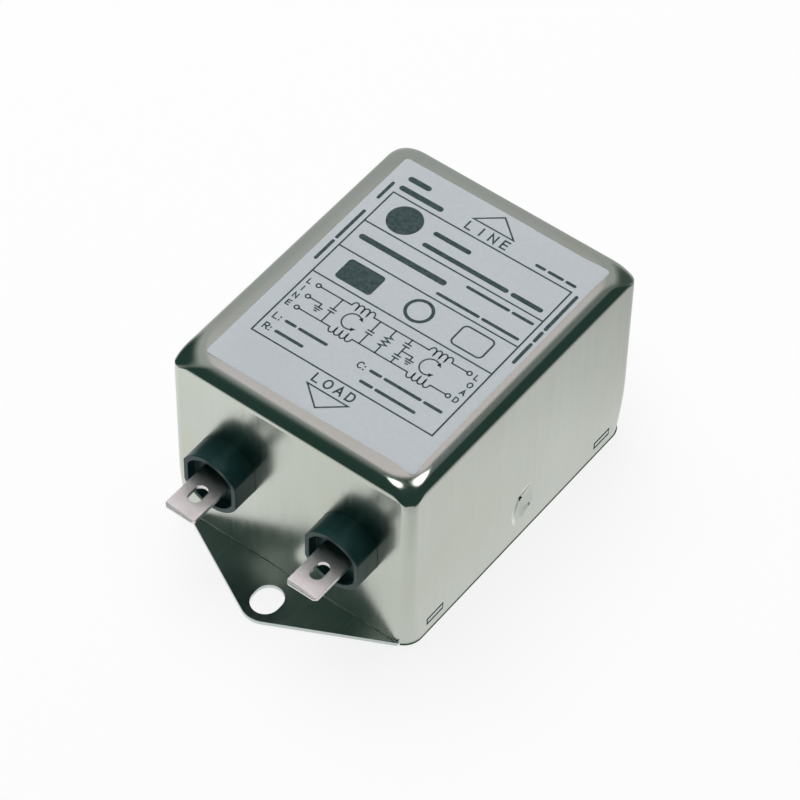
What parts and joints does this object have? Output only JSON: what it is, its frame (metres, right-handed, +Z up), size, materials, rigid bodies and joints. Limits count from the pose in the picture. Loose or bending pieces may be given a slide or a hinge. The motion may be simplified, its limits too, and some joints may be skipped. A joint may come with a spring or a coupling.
{
  "type": "power line filter",
  "caption": "Potted power-line noise filter in a drawn steel can with push-on tabs in insulating bushings at both ends and a flanged base plate with slotted mounting ears.",
  "frame": {"origin": "centre of the footprint, on the mounting face", "axes": "+Z up from the mounting face through the can; Y along the length, +Y towards the LINE end with its three tabs, -Y towards the LOAD end with its two; X across"},
  "size_m": [0.0498, 0.0888, 0.0411],
  "materials": {
    "plated_can": "bright nickel plated, softly glossy",
    "plated_base": "nickel plated, satin",
    "label_film": "satin blue-grey film with dark print",
    "black_moulding": "moulded, slightly glossy",
    "tinned_tab": "tin plated, satin",
    "core_case": "moulded core case",
    "winding_copper": "enamelled copper wire",
    "divider_board": "pressed board",
    "film_capacitor": "glossy box",
    "ceramic_capacitor": "dipped, glossy",
    "resistor_body": "lacquered",
    "lead_copper": "bare copper wire",
    "potting_resin": "cast resin"
  },
  "bodies": {
    "root": {"can": "plated_can", "base_plate": "plated_base", "rating_label": "label_film", "load_bushing_left": "black_moulding", "load_bushing_right": "black_moulding", "line_bushing_left": "black_moulding", "line_bushing_right": "black_moulding", "load_tab_left": "tinned_tab", "load_tab_right": "tinned_tab", "line_tab_left": "tinned_tab", "line_tab_right": "tinned_tab", "earth_tab": "tinned_tab", "line_choke_core": "core_case", "load_choke_core": "core_case", "line_winding_left": "winding_copper", "line_winding_right": "winding_copper", "load_winding_left": "winding_copper", "load_winding_right": "winding_copper", "line_choke_divider": "divider_board", "load_choke_divider": "divider_board", "line_x_capacitor": "film_capacitor", "middle_x_capacitor": "film_capacitor", "y_capacitor_left": "ceramic_capacitor", "y_capacitor_right": "ceramic_capacitor", "bleed_resistor": "resistor_body", "line_lead_left": "lead_copper", "line_lead_right": "lead_copper", "link_wire_left": "lead_copper", "link_wire_right": "lead_copper", "load_lead_left": "lead_copper", "load_lead_right": "lead_copper", "earth_wire": "lead_copper", "potting": "potting_resin"}
  },
  "joints": []
}
